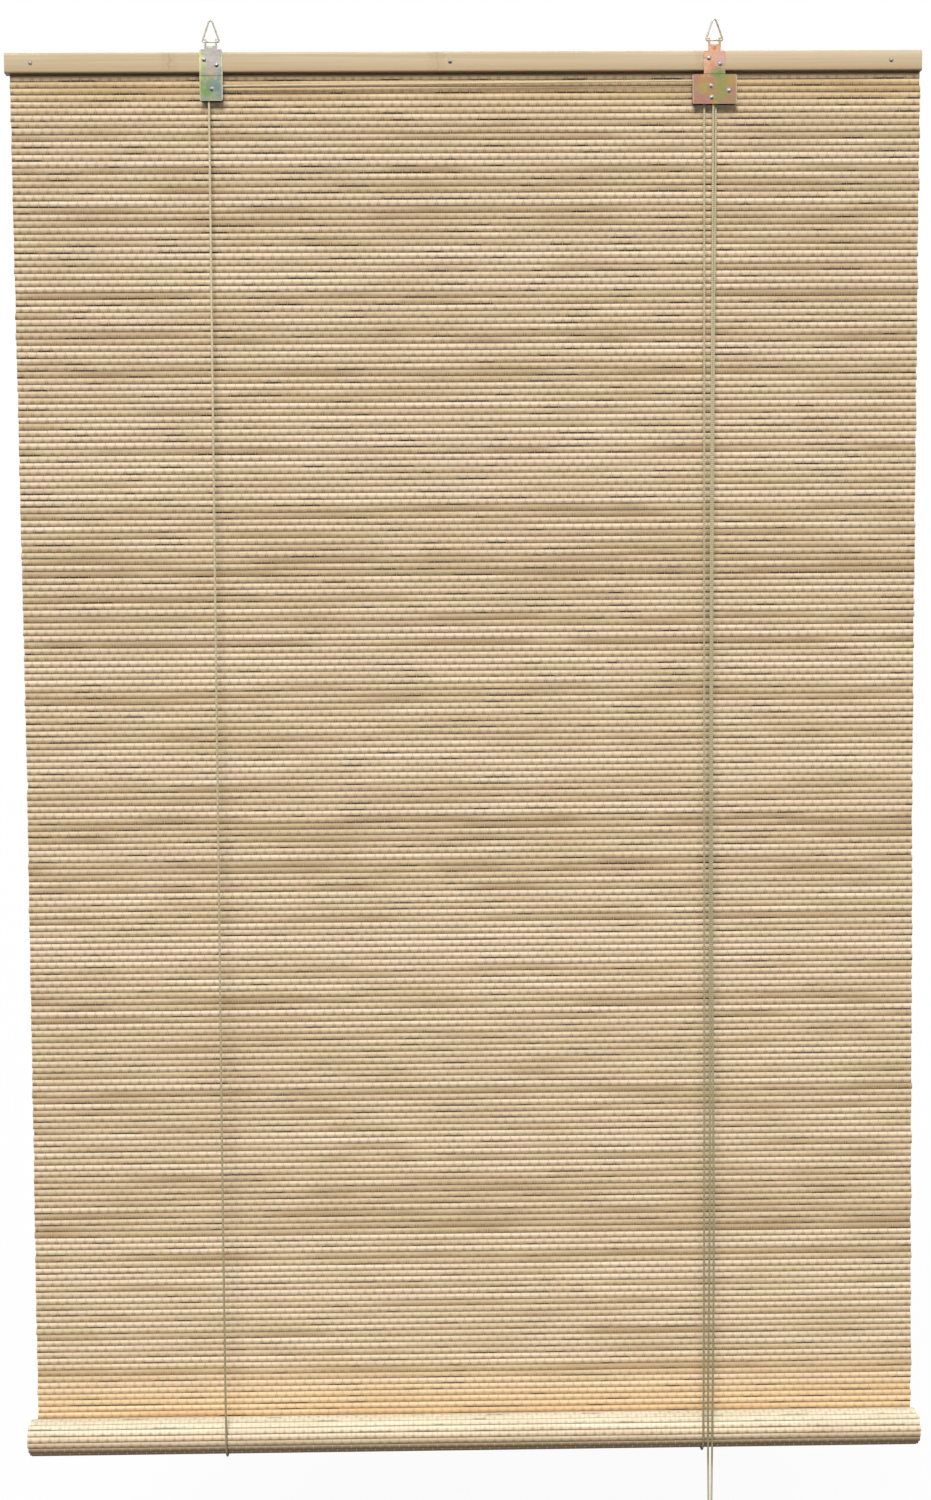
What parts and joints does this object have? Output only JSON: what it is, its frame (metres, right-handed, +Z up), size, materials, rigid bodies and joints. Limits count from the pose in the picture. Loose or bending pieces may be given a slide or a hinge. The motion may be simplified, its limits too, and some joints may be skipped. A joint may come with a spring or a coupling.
{
  "type": "bamboo roll-up blind",
  "caption": "Hanging blind of woven split-bamboo slats that rolls up from the bottom on two looped cords with a cam cord lock.",
  "frame": {"origin": "the middle between the two hanging rings, on the line where the hooks carry them", "axes": "+X to the right across the blind as seen from the room, +Y back to the wall, +Z up"},
  "size_m": [1, 0.0581, 1.6816],
  "materials": {
    "rail_bamboo": "planed bamboo, satin",
    "mat_bamboo": "split bamboo, uneven satin",
    "pole_wood": "raw wood",
    "left_plate_zinc": "yellow-green passivated zinc",
    "right_plate_zinc": "yellow-pink passivated zinc",
    "bright_steel": "bright plated steel",
    "ring_wire": "zinc-plated wire",
    "cam_steel": "zinc-plated steel",
    "pulley_nylon": "natural nylon",
    "olive_cord": "braided cord, olive and beige"
  },
  "bodies": {
    "headrail": {"front_rail_lath": "rail_bamboo", "back_rail_lath": "rail_bamboo", "rail_screws": "bright_steel", "bamboo_mat": "mat_bamboo", "left_front_plate": "left_plate_zinc", "left_back_plate": "left_plate_zinc", "left_lath_rivets": "bright_steel", "left_pulley_axle": "bright_steel", "right_front_plate": "right_plate_zinc", "right_back_plate": "right_plate_zinc", "right_lath_rivets": "bright_steel", "right_pulley_axle": "bright_steel", "cord_guide_pin": "bright_steel", "cam_rivet": "bright_steel", "left_lift_strand": "olive_cord", "right_lift_strand": "olive_cord", "left_back_strand": "olive_cord", "right_back_strand": "olive_cord", "cord_staples": "ring_wire", "anchor_knots": "olive_cord", "crossing_cord": "olive_cord", "pull_cord_front": "olive_cord", "pull_cord_back": "olive_cord", "pull_end_knot": "olive_cord"},
    "cord_slings": {"left_cord_loop": "olive_cord", "right_cord_loop": "olive_cord"},
    "roll": {"mat_roll": "mat_bamboo", "core_pole": "pole_wood"},
    "left_wheel": {"left_pulley": "pulley_nylon"},
    "right_wheel": {"right_pulley": "pulley_nylon"},
    "cam": {"lock_cam": "cam_steel"},
    "left_ring": {"left_hanging_ring": "ring_wire"},
    "right_ring": {"right_hanging_ring": "ring_wire"}
  },
  "joints": [
    {"name": "roll_lift", "type": "slide", "parent": "headrail", "child": "cord_slings", "axis": [0, 0, 1], "range_m": [0, 1.4065], "deforming": ["bamboo_mat", "left_lift_strand", "right_lift_strand", "left_back_strand", "right_back_strand", "pull_cord_front", "pull_cord_back"]},
    {"name": "roll_spin", "type": "hinge", "parent": "cord_slings", "child": "roll", "pos_m": [0, -0.0125, -1.55701], "axis": [1, 0, 0], "range_deg": [-3962, 0]},
    {"name": "left_ring_swing", "type": "hinge", "parent": "headrail", "child": "left_ring", "pos_m": [-0.2757, 0, -0.02151], "axis": [1, 0, 0], "range_deg": [-110, 110]},
    {"name": "right_ring_swing", "type": "hinge", "parent": "headrail", "child": "right_ring", "pos_m": [0.2726, 0, -0.02151], "axis": [1, 0, 0], "range_deg": [-110, 110]},
    {"name": "lock_cam_swing", "type": "hinge", "parent": "headrail", "child": "cam", "pos_m": [0.2883, 0.0017, -0.07621], "axis": [0, 1, 0], "range_deg": [-25, 59.5]},
    {"name": "left_pulley_spin", "type": "hinge", "parent": "headrail", "child": "left_wheel", "pos_m": [-0.2749, 0.0017, -0.07251], "axis": [0, 1, 0], "continuous": true},
    {"name": "right_pulley_spin", "type": "hinge", "parent": "headrail", "child": "right_wheel", "pos_m": [0.2684, 0.0017, -0.07131], "axis": [0, 1, 0], "continuous": true}
  ],
  "couplings": [
    {"joint": "roll_spin", "follows": "roll_lift", "rad_per_m": -49.14},
    {"joint": "left_pulley_spin", "follows": "roll_lift", "rad_per_m": 555.56},
    {"joint": "right_pulley_spin", "follows": "roll_lift", "rad_per_m": 310.08}
  ]
}
